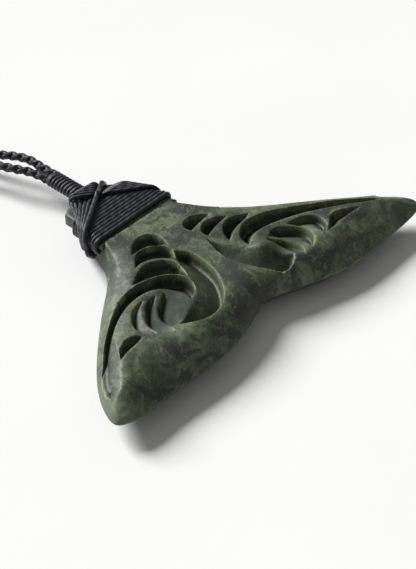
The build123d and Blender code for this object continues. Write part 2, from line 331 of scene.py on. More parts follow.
def ease(share):
    """A share from 0 to 1, with soft ends."""
    share = np.clip(share, 0, 1)
    return share * share * (3 - 2 * share)


def ring_faces(rings, count):
    """The faces between rings of count points each."""
    faces = []
    for k in range(rings - 1):
        for j in range(count):
            i = (j + 1) % count
            faces.append((k * count + j, k * count + i, (k + 1) * count + i, (k + 1) * count + j))
    return faces


def add_object(name, data):
    """A new object in the scene."""
    made = bpy.data.objects.new(name, data)
    bpy.context.scene.collection.objects.link(made)
    return made


def add_piece(name, vertices, faces, material, node, values=None):
    """A smooth mesh piece from millimetres, in place of a node, with its extra values on its points."""
    mesh = bpy.data.meshes.new(name)
    mesh.from_pydata((np.asarray(vertices) * MM).tolist(), [], faces)
    for key, numbers in (values or {}).items():
        numbers = np.asarray(numbers, float)
        kind, part = ("FLOAT", "value") if numbers.ndim == 1 else ("FLOAT_VECTOR", "vector")
        mesh.attributes.new(key, kind, "POINT").data.foreach_set(part, numbers.ravel())
    mesh.shade_smooth()
    mesh.materials.append(material)
    piece = add_object(name, mesh)
    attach(piece, "root")
    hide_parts(node)
    return piece


def tube(path, outward, size, sides=8, endless=False):
    """Points and faces of a round strand along a path, and for each point its place along and round it.

    outward points away from what the strand lies on, and size is its radius. Both may change at each step.
    """
    path = np.asarray(path, float)
    ahead = np.roll(path, -1, axis=0)
    behind = np.roll(path, 1, axis=0)
    if not endless:
        ahead[-1] = path[-1]
        behind[0] = path[0]
    along = unit(ahead - behind)
    out = unit(outward - np.sum(outward * along, axis=1, keepdims=True) * along)
    side = np.cross(along, out)
    turn = np.arange(sides) * 2 * pi / sides
    size = np.broadcast_to(size, len(path))
    ring = np.cos(turn)[None, :, None] * out[:, None] + np.sin(turn)[None, :, None] * side[:, None]
    points = path[:, None] + ring * size[:, None, None]
    strand = np.empty((len(path), sides, 3))
    strand[..., 0] = distances(path)[:, None]
    strand[..., 1] = np.cos(turn)[None]
    strand[..., 2] = np.sin(turn)[None]
    faces = ring_faces(len(path), sides)
    last = (len(path) - 1) * sides
    if endless:
        faces += [(last + j, last + (j + 1) % sides, (j + 1) % sides, j) for j in range(sides)]
    else:
        faces.append(tuple(reversed(range(sides))))
        faces.append(tuple(range(last, last + sides)))
    return points.reshape(-1, 3), faces, strand.reshape(-1, 3)


def add_threads(name, threads, material, node):
    """One piece made of threads, each given as its points, faces and values."""
    points, faces, values, count = [], [], [], 0
    for thread_points, thread_faces, thread_values in threads:
        points.append(thread_points)
        values.append(thread_values)
        faces += [tuple(index + count for index in face) for face in thread_faces]
        count += len(thread_points)
    values = {"strand": np.concatenate(values)}
    return add_piece(name, np.concatenate(points), faces, material, node, values)


def add_camera():
    """The camera at the photograph's place and angle."""
    lens = bpy.data.cameras.new("camera")
    lens.sensor_fit = "VERTICAL"
    lens.sensor_height = sensor_height
    lens.lens = focal_length_px / photo_height * sensor_height
    lens.clip_start = 0.01
    camera = add_object("camera", lens)
    camera.location = camera_place
    camera.rotation_euler = (radians(90 - camera_elevation), 0, radians(camera_azimuth))
    bpy.context.scene.camera = camera


class Paint:
    """A material being built: short ways to add the nodes that feed its shader."""

    def __init__(self, name, **settings):
        self.material = bpy.data.materials.new(name)
        self.material.use_nodes = True
        self.tree = self.material.node_tree
        self.shader = self.tree.nodes["Principled BSDF"]
        self.set(**settings)
        self.place = self.add("ShaderNodeTexCoord").outputs["Object"]

    def set(self, **settings):
        """Feeds the shader's inputs; an underscore in a name stands for a space."""
        for key, value in settings.items():
            self.feed(self.shader.inputs[key.replace("_", " ")], value)

    def feed(self, socket, value):
        """Links another node's output to a socket, or sets its own value."""
        if isinstance(value, bpy.types.NodeSocket):
            self.tree.links.new(value, socket)
        else:
            socket.default_value = value

    def add(self, kind, inputs=(), **settings):
        """A new node with its inputs fed."""
        node = self.tree.nodes.new(kind)
        for key, value in settings.items():
            setattr(node, key, value)
        for key, value in dict(inputs).items():
            self.feed(node.inputs[key], value)
        return node

    def value(self, name, part="Fac"):
        """A number, or a row of three, that the mesh keeps on its points."""
        return self.add("ShaderNodeAttribute", attribute_name=name).outputs[part]

    def math(self, operation, first, second=0.0, third=0.0):
        """A number worked out from up to three others."""
        return self.add("ShaderNodeMath", {0: first, 1: second, 2: third}, operation=operation).outputs[0]

    def noise(self, size, detail=3.0, roughness=0.5, distortion=0.0, place=None):
        """Cloudy noise whose patches are about size millimetres wide."""
        inputs = {"Vector": place or self.place, "Scale": 1 / (size * MM), "Detail": detail}
        inputs.update({"Roughness": roughness, "Distortion": distortion})
        return self.add("ShaderNodeTexNoise", inputs).outputs["Fac"]

    def stretch(self, scale, turn=0.0):
        """The place in the frame, stretched by a factor on each axis after a turn about Z in degrees."""
        turned = self.add("ShaderNodeMapping", {"Vector": self.place, "Rotation": (0, 0, radians(turn))})
        return self.add("ShaderNodeMapping", {"Vector": turned.outputs[0], "Scale": scale}).outputs[0]

    def steps(self, value, low, high):
        """0 below low, 1 above high, and soft between them."""
        inputs = {"Value": value, "From Min": low, "From Max": high}
        return self.add("ShaderNodeMapRange", inputs, interpolation_type="SMOOTHSTEP").outputs["Result"]

    def mix(self, share, first, second):
        """The second colour over the first, by a share."""
        node = self.add("ShaderNodeMix", data_type="RGBA", clamp_factor=True)
        self.feed(node.inputs["Factor"], share)
        self.feed(node.inputs["A"], first)
        self.feed(node.inputs["B"], second)
        return node.outputs["Result"]

    def cover(self, tone, colour, where, most):
        """A colour over a tone: not at all where the value is 0, and by the share most where it is 1."""
        return self.mix(self.math("MULTIPLY", where, most), tone, colour)

    def bump(self, height, distance, strength=1.0, under=None):
        """A bump of some millimetres on top of another."""
        inputs = {"Height": height, "Distance": distance * MM, "Strength": strength}
        if under:
            inputs["Normal"] = under
        return self.add("ShaderNodeBump", inputs).outputs["Normal"]


def mottled_tone(paint):
    """Dark and light green, violet and olive in patches."""
    x, y, _ = paint.add("ShaderNodeSeparateXYZ", {0: paint.place}).outputs

    # Clouds of dark and light green, darkened by painted shade beside the stem and towards the right
    # trailing edge
    stem_shade = paint.steps(y, 0, 10 * MM)
    trailing_shade = paint.steps(paint.math("SUBTRACT", paint.math("MULTIPLY", x, 0.55), y), -14 * MM, 20 * MM)
    cloud = paint.noise(11, 5, 0.62, 0.5)
    cloud = paint.math("MULTIPLY_ADD", stem_shade, -0.10, cloud)
    cloud = paint.math("MULTIPLY_ADD", trailing_shade, -0.10, cloud)
    light = paint.steps(cloud, 0.36, 0.56)
    fine = paint.steps(paint.noise(2.4, 6, 0.72, 0.9), 0.42, 0.62)
    tone = paint.cover(paint.mix(light, FOREST, SAGE), paint.mix(light, SAGE, PALE), fine, 0.6)
    for width, detail, roughness, distortion, drawn, turn, low, high, most, colour in MOTTLING:
        place = paint.stretch((1.0, drawn, 1.0), turn)
        patch = paint.steps(paint.noise(width, detail, roughness, distortion, place), low, high)
        tone = paint.cover(tone, colour, patch, most)

    # Olive flecks in some places, and paler colour at the left tip that is partly paler thin stone and
    # partly a painted satin highlight
    flecked = paint.steps(paint.noise(8, 2, 0.5, 0.2), 0.40, 0.58)
    fleck = paint.steps(paint.noise(1.9, 7, 0.75, 1.6, paint.stretch((1.0, 2.0, 1.0), -35)), 0.54, 0.66)
    tone = paint.cover(tone, OLIVE, paint.math("MULTIPLY", fleck, flecked), 0.75)
    tip_highlight = paint.steps(paint.math("MULTIPLY", x, -1), 32 * MM, 37 * MM)
    return paint.cover(tone, PALE, tip_highlight, 0.6)


def carved_tone(paint, tone, hollow):
    """The tone, with painted shade in the hollows and the cuts, and painted light on the rims and through
    the thin crests.
    """
    # Painted shade: dark green over the sunk middles of the koru
    tone = paint.cover(tone, FOREST, hollow, 0.7)
    # Painted shade: near black where the cuts are deep
    tone = paint.cover(tone, CUT_SHADE, paint.steps(paint.value("carved"), 0.4, 2.0), 0.88)
    rim = paint.value("rim")
    # Painted light: a yellow-green glow near the rims, as if light came through the thin crests
    thin = paint.steps(paint.noise(4.5, 3, 0.6), 0.42, 0.66)
    tone = paint.cover(tone, GLOW, paint.math("MULTIPLY", rim, thin), 0.7)
    # Painted light: olive where the walls at the rims of the cuts catch the light from behind
    lit_rim = paint.steps(paint.noise(3.1, 3, 0.6, 0.3, paint.stretch((1, 1, 1), 60)), 0.54, 0.68)
    return paint.cover(tone, OLIVE, paint.math("MULTIPLY", rim, lit_rim), 0.75)


def greenstone():
    """Mottled green stone, with painted shade inside its cuts and a painted yellow-green glow where it is
    thin.
    """
    paint = Paint(
        "greenstone", Specular_IOR_Level=0.5, Subsurface_Weight=0.08, Subsurface_Radius=(0.4, 1.0, 0.25),
        Subsurface_Scale=0.7 * MM
    )
    # Where the middles of the koru are sunk: painted shade goes there, and the stone is rougher
    hollow = paint.steps(paint.value("sunk"), 0.1, 0.9)
    tone = carved_tone(paint, mottled_tone(paint), hollow)
    scratch = paint.noise(1.0, 2, 0.5, 0.0, paint.stretch((9.0, 0.5, 1.0), -42))
    rough = paint.math("MULTIPLY_ADD", scratch, 0.18, 0.44)
    rough = paint.math("MULTIPLY_ADD", hollow, 0.30, rough)
    surface = paint.bump(paint.noise(1.8, 4, 0.55), 0.07)
    surface = paint.bump(scratch, 0.03, 0.7, under=surface)
    paint.set(Base_Color=tone, Roughness=rough, Normal=surface)
    return paint.material


def thread_look(name, twist, shades, gloss):
    """Dark twisted thread: twist is the length in millimetres after which its yarns repeat."""
    paint = Paint(name, Specular_IOR_Level=0.4, Sheen_Weight=0.1, Sheen_Roughness=0.45)
    strand = paint.value("strand", "Vector")
    along, across, up = paint.add("ShaderNodeSeparateXYZ", {0: strand}).outputs
    turn = paint.math("ARCTAN2", up, across)
    phase = paint.math("MULTIPLY_ADD", along, 2 * pi / twist, paint.math("MULTIPLY", turn, 2))
    yarn = paint.math("MULTIPLY_ADD", paint.math("SINE", phase), 0.5, 0.5)
    fibre = paint.noise(0.16, 4, 0.7, 0.2)
    # Painted highlight: patches of lighter grey-brown over the thread
    painted_sheen = paint.steps(paint.noise(3.0, 3, 0.6), 0.40, 0.68)
    tone = paint.cover(shades[0], shades[1], paint.steps(fibre, 0.35, 0.75), 0.7)
    tone = paint.cover(tone, shades[2], painted_sheen, 0.35)
    rough = paint.math("MULTIPLY_ADD", fibre, 0.22, gloss)
    surface = paint.bump(fibre, 0.05, 0.6)
    surface = paint.bump(yarn, 0.06, 0.8, under=surface)
    paint.set(Base_Color=tone, Roughness=rough, Normal=surface)
    return paint.material


def clasp_metal():
    """Satin turned metal with fine rings round it and a little tarnish."""
    paint = Paint("clasp_metal", Metallic=1.0, Specular_IOR_Level=0.5)
    rings = paint.noise(0.12, 2, 0.6, 0.0, paint.stretch((1.0, 0.05, 0.05)))
    tarnish = paint.steps(paint.noise(2.2, 4, 0.6), 0.45, 0.7)
    tone = paint.cover(*CLASP_SHADES, tarnish, 0.5)
    rough = paint.math("MULTIPLY_ADD", tarnish, 0.15, 0.28)
    paint.set(Base_Color=tone, Roughness=rough, Normal=paint.bump(rings, 0.02))
    return paint.material


def table_paint():
    """Smooth matt table top, almost white."""
    paint = Paint("table_top", Roughness=0.75, Specular_IOR_Level=0.2)
    cloud = paint.steps(paint.noise(60, 3, 0.5), 0.2, 0.8)
    paint.set(Base_Color=paint.mix(cloud, *TABLE_SHADES))
    paint.set(Normal=paint.bump(paint.noise(0.8, 3, 0.6), 0.01, 0.4))
    return paint.material


# Carved cuts: side, depth, the power that its floor rises by, width of the steep wall, then the rim along
# that wall and the edge that the floor rises to. Both run between the same two ends. Distances are from the
# axis.
CUTS = (
    # Left fluke: three scallops, the long groove, the shallow valley beside its lower end, the outer koru
    # groove, three fan cuts and the thumb cut
    (-1, 2.5, 1.5, 0.5,
     ((9.8, 8.7), (8.3, 10.2), (5.7, 11.4), (4.0, 11.2), (2.8, 9.2), (3.3, 6.3)),
     ((8.3, 8.75), (5.8, 8.2), (4.7, 7.3))),
    (-1, 2.6, 1.5, 0.5,
     ((12.0, 5.7), (10.9, 6.9), (9.7, 7.9), (8.3, 8.5), (5.7, 8.0), (4.1, 6.4), (4.2, 3.9), (4.95, 2.7)),
     ((10.9, 5.95), (8.2, 5.4), (6.6, 4.1), (5.6, 3.0))),
    (-1, 2.7, 1.5, 0.5,
     ((15.5, 2.9), (12.8, 4.5), (10.0, 5.2), (7.3, 4.0), (6.0, 1.9), (6.3, -0.4), (7.2, -2.3)),
     ((14.0, 2.6), (11.2, 1.75), (9.1, 0.4), (7.9, -1.1))),
    (-1, 2.6, 1.6, 0.5,
     ((33.2, -7.7), (30.9, -5.7), (27.1, -2.3), (22.3, 0.6), (17.6, 2.4), (13.9, 2.2), (10.6, 1.2),
      (8.4, -0.7), (7.7, -3.1), (9.0, -5.7), (11.4, -6.9)),
     ((30.2, -6.5), (25.7, -2.9), (20.9, -0.6), (16.4, 0.0), (13.2, -0.9), (11.3, -3.2), (10.75, -5.4))),
    (-1, 1.3, 0.8, 1.5,
     ((35.9, -13.2), (34.7, -9.5), (31.5, -5.9), (27.8, -2.7), (25.0, -0.9)),
     ((33.8, -12.6), (31.9, -10.8), (29.9, -8.8), (27.9, -5.9), (26.2, -3.4))),
    (-1, 2.4, 1.2, 0.5,
     ((3.8, 4.2), (2.4, 2.2), (2.2, -0.8), (3.1, -4.8), (5.3, -8.6), (8.4, -11.3), (12.1, -12.0),
      (15.0, -11.0), (16.9, -9.5)),
     ((5.0, 2.9), (6.4, 0.0), (7.4, -2.9), (8.7, -5.4), (10.9, -7.2), (13.6, -8.4), (15.6, -9.2))),
    (-1, 1.3, 0.7, 0.5,
     ((12.8, -2.0), (14.8, -2.8), (16.8, -4.4), (17.9, -6.9), (17.3, -9.3)),
     ((13.0, -3.9), (14.2, -6.0), (15.8, -8.2))),
    (-1, 1.4, 0.7, 0.5,
     ((14.4, -1.6), (16.4, -1.7), (19.0, -3.6), (20.8, -6.4), (20.2, -9.0), (18.9, -10.2)),
     ((16.7, -3.8), (18.1, -6.1), (18.4, -8.6))),
    (-1, 1.4, 0.8, 0.5,
     ((16.8, -1.1), (19.2, -1.3), (21.6, -2.9), (22.9, -5.1), (22.6, -7.6), (21.4, -8.8)),
     ((18.7, -2.2), (20.3, -4.4), (21.0, -7.0))),
    (-1, 1.6, 1.6, 0.5,
     ((29.9, -8.8), (28.3, -7.0), (26.0, -5.9), (24.3, -6.3), (23.4, -7.4)),
     ((28.2, -8.3), (26.0, -8.0))),
    # Right fluke: the same without the valley
    (1, 2.4, 1.5, 0.5,
     ((8.3, 6.9), (6.6, 8.3), (4.7, 9.0), (2.6, 8.2), (2.1, 6.9), (2.4, 5.8)),
     ((6.6, 6.65), (4.4, 6.3))),
    (1, 2.5, 1.5, 0.5,
     ((10.0, 4.1), (8.0, 5.6), (5.8, 5.95), (3.8, 5.0), (3.2, 3.8), (3.4, 2.7)),
     ((8.4, 3.95), (5.6, 3.4))),
    (1, 2.6, 1.5, 0.5,
     ((13.3, 1.8), (11.0, 3.0), (8.6, 3.35), (6.6, 2.2), (5.2, 0.1), (4.9, -1.0)),
     ((11.4, 1.15), (8.6, 0.7), (6.4, -0.2))),
    (1, 2.6, 1.6, 0.5,
     ((33.6, -13.0), (31.3, -10.5), (27.8, -7.5), (23.0, -4.4), (18.2, -1.6), (14.7, 0.1), (11.6, 0.6),
      (8.7, -0.1), (6.7, -2.2), (6.2, -4.5)),
     ((31.0, -11.8), (27.8, -9.9), (23.0, -7.0), (18.2, -4.7), (13.5, -3.1), (10.2, -2.8), (7.7, -3.5))),
    (1, 2.5, 1.5, 0.5,
     ((2.6, 2.8), (1.7, 0.2), (1.0, -4.0), (2.0, -7.8), (4.2, -11.4), (6.8, -13.0), (9.0, -12.4),
      (10.0, -11.4)),
     ((3.1, -0.2), (4.3, -2.6), (5.6, -4.9), (7.0, -6.9), (8.6, -8.9), (9.6, -10.4))),
    (1, 1.5, 0.9, 0.5,
     ((9.9, -4.9), (11.6, -6.0), (12.9, -8.1), (13.0, -10.4), (11.8, -12.7)),
     ((10.6, -6.4), (10.8, -8.6), (10.4, -10.9))),
    (1, 1.7, 1.0, 0.5,
     ((11.0, -4.7), (13.1, -4.2), (15.6, -5.7), (17.0, -8.2), (16.3, -10.9), (13.7, -12.8)),
     ((12.6, -6.4), (13.8, -8.8), (13.9, -11.2))),
    (1, 1.6, 1.0, 0.5,
     ((15.6, -4.9), (18.5, -5.6), (20.8, -7.7), (20.6, -10.0), (18.2, -12.0)),
     ((17.1, -7.4), (18.1, -10.2))),
    (1, 1.6, 1.6, 0.5,
     ((19.0, -12.0), (21.4, -10.2), (24.0, -9.35), (26.6, -10.5), (28.8, -11.7)),
     ((21.4, -11.8), (25.2, -11.55))),
)

# A wall takes up at most a share of its cut, and starts a little way down. A cut is shallower where it is
# narrower than a width, by a power. A rim is worn down close by, and a painted glow of light coming through
# the stone lies near it. Nothing of a cut is looked for further out than its reach. Lines of points follow
# some shares of the floor, first its upper edge, then from the wall's foot up.
widest_wall = 0.35
narrow_width = 1.8
narrow_power = 0.8
wall_start = 0.1
rim_softness = 0.18
rim_wear = 0.05
rim_glow = 0.45
no_rim_near = 9.0
cut_reach = 1.0
FLOOR_LINES = (1.0, 0.12, 0.3, 0.5, 0.7, 0.86)

# The sunk middle of each koru and the bulb that rises in it: x, y, half lengths, height.
HOLLOWS = ((-15.4, -5.8, 8.8, 5.8, -1.3), (12.0, -7.6, 8.4, 5.8, -1.3))
BULBS = ((-12.2, -6.8, 4.6, 3.8, 0.8), (7.6, -6.7, 3.8, 3.4, 1.2))

# The carved face starts at this ring of the rolled edge. Rays that look for its height start over the stone,
# and the back land lies within these half lengths of the middle.
face_start = 3
over_stone = 20
land_reach = (28, 16)

# Steps of the stone's mesh: along its outline, over its face, along the lines of its cuts, over its back,
# along and round its stem, round each corner of the stem and round its end. Then how near a point may be to
# those before it: on a rim, on another line of a cut, on a ring of the face, between them, beside the face's
# edge and on the back.
outline_step = 0.4
face_step = 0.34
line_step = 0.16
land_step = 1.2
stem_step = 0.8
stem_around = 72
corner_steps = 10
end_steps = 6
rim_gap = 0.05
line_gap = 0.1
ring_gap = 0.22
face_gap = 0.24
edge_gap = 0.15
land_gap = 0.8


def outline_loop():
    """The outline at even steps, counterclockwise from the stem, each with its insets to face and back."""
    sides = []
    for side in (-1, 1):
        rows = []
        for left, left_y, right, right_y, face_dx, face_dy, back_dx, back_dy in OUTLINE:
            place = (-left, left_y) if side < 0 else (right, right_y)
            wide, power = leading_roll if len(rows) < roll_rows else trailing_roll
            face = (-side * face_dx * wide, face_dy * wide)
            rows.append((*place, *face, -side * back_dx, back_dy, power))
        sides.append(smooth_line(rows, outline_step))
    left, right = sides
    count = int(round((right[0, 0] - left[0, 0]) / outline_step))
    across = np.linspace(right[0], left[0], count + 1)[1:-1]
    return np.concatenate((left, right[::-1][1:], across))


def face_side(loop):
    """Rings of the stone's side, from its edge in to the carved face, as (ring, point, xyz)."""
    made = []
    for inset in np.linspace(0, 1, roll_steps) ** roll_spacing:
        rise = (top_height - edge_height) * (1 - (1 - inset) ** loop[:, 6])
        made.append(np.column_stack((loop[:, :2] + inset * loop[:, 2:4], edge_height + rise)))
    return np.array(made)


def back_side(loop):
    """Rings of the stone's side, from its edge in to the land of its back, as (ring, point, xyz)."""
    made = []
    for inset, share in smooth_line(BACK_ROUNDING, back_step):
        plan = loop[:, :2] + inset * loop[:, 4:6]
        made.append(np.column_stack((plan, np.full(len(loop), edge_height * (1 - share)))))
    return np.array(made)


def relaxed(values, triangles, held, rounds):
    """Values on the points of a mesh, taken towards their neighbours' mean, apart from the held ones."""
    pairs = np.array([(face[i - 1], face[i]) for face in triangles for i in range(len(face))])
    ends = np.concatenate((pairs, pairs[:, ::-1]))
    number = np.maximum(np.bincount(ends[:, 0], minlength=len(values)), 1)
    for _ in range(rounds):
        mean = np.bincount(ends[:, 0], values[ends[:, 1]], len(values)) / number
        values = np.where(held, values, mean)
    return values


class Plan:
    """Points in plan, each kept some way from the ones before it, and the lines that join them.

    A point near a new one is looked for in the new one's square cell and those around it.
    """

    cell = 0.5

    def __init__(self):
        self.points = []
        self.lines = set()
        self.cells = {}

    def add(self, point, gap):
        """The number of a point, or of the one already there within the gap."""
        column, row = int(point[0] // self.cell), int(point[1] // self.cell)
        for i in (column - 1, column, column + 1):
            for j in (row - 1, row, row + 1):
                for index in self.cells.get((i, j), ()):
                    other = self.points[index]
                    if (other[0] - point[0]) ** 2 + (other[1] - point[1]) ** 2 < gap * gap:
                        return index
        self.points.append((float(point[0]), float(point[1])))
        self.cells.setdefault((column, row), []).append(len(self.points) - 1)
        return len(self.points) - 1

    def add_line(self, line, gap, joined):
        """Adds a line of points, and where they are joined the lines between them."""
        numbers = [self.add(point, gap) for point in line]
        if joined:
            self.lines.update((a, b) for a, b in zip(numbers, numbers[1:]) if a != b)


class Cut:
    """One carved cut: its rim, the edge that its floor rises to, and how deep it is at a place."""

    def __init__(self, side, depth, cove, wall, rim, rise):
        self.depth = depth
        self.cove = cove
        self.wall = wall
        flip = np.array((side, 1.0))
        self.rim = smooth_line(np.array(rim) * flip, line_step)
        self.rise = smooth_line(np.array((rim[0], *rise, rim[-1])) * flip, line_step)
        self.outline = np.concatenate((self.rim, self.rise[::-1][1:-1]))
        self.low = self.outline.min(axis=0) - cut_reach
        self.high = self.outline.max(axis=0) + cut_reach

    def lines(self):
        """Lines of points along the cut and beside it, and whether the points of each are joined."""
        rise = self.rise[np.linspace(0, len(self.rise) - 1, len(self.rim)).round().astype(int)]
        across = rise - self.rim
        width = np.maximum(np.linalg.norm(across, axis=1, keepdims=True), 0.01)
        wall = np.minimum(self.wall / width, widest_wall)
        yield self.rim, True
        yield self.rim + across * wall, False
        yield self.rim + across * wall / 2, False
        for share in FLOOR_LINES:
            yield self.rim + across * (wall + (1 - wall) * share), False
        yield self.rim - across / width * rim_softness, False

    def at(self, places):
        """Depth of the cut and distance from its rim, at places in plan."""
        near = np.all((places > self.low) & (places < self.high), axis=1)
        deep = np.zeros(len(places))
        far = np.full(len(places), no_rim_near)
        some = places[near]
        if len(some):
            to_rim = from_line(some, self.rim)
            to_rise = from_line(some, self.rise)
            width = np.maximum(to_rim + to_rise, 1e-6)
            wall = np.minimum(self.wall, widest_wall * width)
            most = self.depth * np.clip(width / narrow_width, 0, 1) ** narrow_power
            floor = 1 - np.clip((to_rim - wall) / (width - wall), 0, 1) ** self.cove
            cut = most * ease(to_rim / wall * (1 - wall_start) + wall_start) * floor
            painted_sheen = rim_wear * np.clip(1 - to_rim / rim_softness, 0, 1) ** 2
            deep[near] = np.where(within(some, self.outline), np.maximum(cut, painted_sheen), painted_sheen)
            far[near] = to_rim
        return deep, far


def swell(places, table):
    """Smooth hollows and bulbs in plan, as a height."""
    height = np.zeros(len(places))
    for x, y, half_x, half_y, rise in table:
        away = np.hypot((places[:, 0] - x) / half_x, (places[:, 1] - y) / half_y)
        height += rise * ease(1 - away)
    return height


def triangulated(outline, places, lines=()):
    """Triangles in plan inside an outline, through places in it and along lines between these.

    Given back are the points that they use, the triangles, and the number of each outline point among them.
    """
    count = len(outline)
    points = [Vector(point) for point in np.concatenate((outline, places))]
    lines = [(j, (j + 1) % count) for j in range(count)] + [(a + count, b + count) for a, b in lines]
    made, _, faces, source, _, _ = delaunay_2d_cdt(points, lines, [], 0, 1e-5)
    made = np.array([tuple(point) for point in made])
    inside = within(np.array([made[list(face)].mean(axis=0) for face in faces]), outline)
    faces = [tuple(face) for face, keep in zip(faces, inside) if keep]
    border = {}
    for number, origins in enumerate(source):
        border.update((origin, number) for origin in origins if origin < count)
    return made, faces, border


def face_net(cuts, edge, rings):
    """Triangles of the carved face in plan, with points along its cuts and the rings inside its edge."""
    plan = Plan()
    for cut in cuts:
        for line, joined in cut.lines():
            plan.add_line(line, rim_gap if joined else line_gap, joined)
    for ring in rings:
        plan.add_line(ring[:, :2], ring_gap, False)
    low, high = edge.min(axis=0), edge.max(axis=0)
    columns = np.arange(low[0], high[0], face_step)
    for number, y in enumerate(np.arange(low[1], high[1], face_step)):
        for x in columns + (number % 2) * face_step / 2:
            plan.add((x, y), face_gap)
    places = np.array(plan.points)
    kept = within(places, edge) & (from_line(places, closed(edge)) > edge_gap)
    numbers = np.cumsum(kept) - 1
    lines = [(int(numbers[a]), int(numbers[b])) for a, b in plan.lines if kept[a] and kept[b]]
    return triangulated(edge, places[kept], lines)


def uncut_height(made, triangles, border, rings):
    """Height of the face before it is cut, read from the rings of its side and smoothed inside its edge."""
    count = rings.shape[1]
    sheet = ring_faces(len(rings), count)
    sheet.append(tuple((len(rings) - 1) * count + j for j in range(count)))
    tree = BVHTree.FromPolygons(rings.reshape(-1, 3).tolist(), sheet)
    height = np.empty(len(made))
    for number, (x, y) in enumerate(made):
        hit = tree.ray_cast(Vector((x, y, over_stone)), Vector((0, 0, -1)))[0]
        height[number] = hit.z if hit else top_height
    edge = rings[face_start]
    for origin, number in border.items():
        height[number] = edge[origin, 2]
    held = from_line(made, closed(edge[:, :2])) < steep_width
    held &= made[:, 1] > steep_from
    held[list(border.values())] = True
    return relaxed(height, triangles, held, smoothing_rounds)


def carved_face(rings):
    """The carved face inside its ring of the side: points, triangles, border points and values for paint."""
    cuts = [Cut(*row) for row in CUTS]
    made, triangles, border = face_net(cuts, rings[face_start, :, :2], rings[face_start + 1:])
    height = uncut_height(made, triangles, border, rings)
    depth = np.zeros(len(made))
    rim = np.full(len(made), no_rim_near)
    for cut in cuts:
        deep, far = cut.at(made)
        depth = np.maximum(depth, deep)
        rim = np.minimum(rim, far)
    sunk = -swell(made, HOLLOWS)
    waves = np.array([noise.noise(Vector((x / uneven_width, y / uneven_width, 0))) for x, y in made])
    change = swell(made, BULBS) - sunk + waves * unevenness - depth
    change[list(border.values())] = 0
    values = {"carved": depth, "sunk": sunk, "rim": np.exp(-(rim / rim_glow) ** 2)}
    return np.column_stack((made, height + change)), triangles, border, values


def section(places, left, right, low, high, bevel, upper, grow):
    """Points round an upright section, grown on every side, and the ways out from them, as (x, z).

    The places are shares of the way round from the middle of the underside. Left and right are distances
    from the axis. The lower corners are bevelled and the upper ones rounded.
    """
    corners = (
        (right - bevel, low, 0, -90, -45),
        (right, low + bevel, 0, -45, 0),
        (right - upper, high - upper, upper, 0, 90),
        (upper - left, high - upper, upper, 90, 180),
        (-left, low + bevel, 0, 180, 225),
        (bevel - left, low, 0, 225, 270),
    )
    points, out = [((right - left) / 2, low - grow)], [(0, -1)]
    for x, z, radius, begin, end in corners:
        for turn in np.radians(np.linspace(begin, end, corner_steps)):
            points.append((x + (radius + grow) * cos(turn), z + (radius + grow) * sin(turn)))
            out.append((cos(turn), sin(turn)))
    points, out = closed(np.array(points)), closed(np.array(out))
    lengths = distances(points)
    walk = np.asarray(places) % 1 * lengths[-1]
    return [np.column_stack([np.interp(walk, lengths, row[:, i]) for i in (0, 1)]) for row in (points, out)]


def stem_size(y):
    """Left, right and top of the stem at y."""
    stations = np.array(STEM)
    left = np.interp(y, stations[:, 0], stations[:, 1])
    right = np.interp(y, stations[:, 0], stations[:, 2])
    top = np.interp(y, (stations[0, 0], stem_end), (stem_start_top, stem_end_top))
    return left, right, top


def stem_bevel(y):
    """The bevel along the underside of the stem at y."""
    return np.interp(y, (STEM[0][0], stem_end), (stem_start_bevel, stem_head_bevel))


def stem_ring(places, y, grow, shrink=0.0):
    """Points round the stem at y, grown or shrunk on every side, and the ways out from them."""
    left, right, top = stem_size(y)
    sizes = left - shrink, right - shrink, stem_underside + shrink, top - shrink
    points, out = section(places, *sizes, stem_bevel(y), stem_upper_radius, grow)
    return np.insert(points, 1, np.full(len(points), y), axis=1), np.insert(out, 1, 0, axis=1)


def back_net(land):
    """Triangles of the flat land of the back, in plan."""
    plan = Plan()
    plan.add_line(land, 0.0, False)
    for x in np.arange(-land_reach[0], land_reach[0], land_step):
        for y in np.arange(-land_reach[1], land_reach[1], land_step):
            plan.add((x, y), land_gap)
    places = np.array(plan.points)[len(land):]
    return triangulated(land, places[within(places, land)])


def stem_shell():
    """Points and faces of the stem, from inside the stone to its rounded end."""
    begin = stem_end - stem_end_rounding
    stations = [(y, 0.0) for y in np.arange(STEM[0][0], begin, stem_step)]
    for turn in np.linspace(0, pi / 2, end_steps):
        stations.append((begin + stem_end_rounding * sin(turn), stem_end_rounding * (1 - cos(turn))))
    shares = np.arange(stem_around) / stem_around
    points = np.concatenate([stem_ring(shares, y, 0.0, shrink)[0] for y, shrink in stations])
    faces = ring_faces(len(stations), stem_around)
    faces.append(tuple(range(stem_around)))
    faces.append(tuple(range(len(points) - stem_around, len(points))))
    return points, faces


def clean(mesh):
    """Takes the loose points out of a mesh and turns its faces outwards."""
    shell = bmesh.new()
    shell.from_mesh(mesh)
    loose = [vertex for vertex in shell.verts if not vertex.link_faces]
    bmesh.ops.delete(shell, geom=loose, context="VERTS")
    bmesh.ops.recalc_face_normals(shell, faces=shell.faces)
    shell.to_mesh(mesh)
    shell.free()


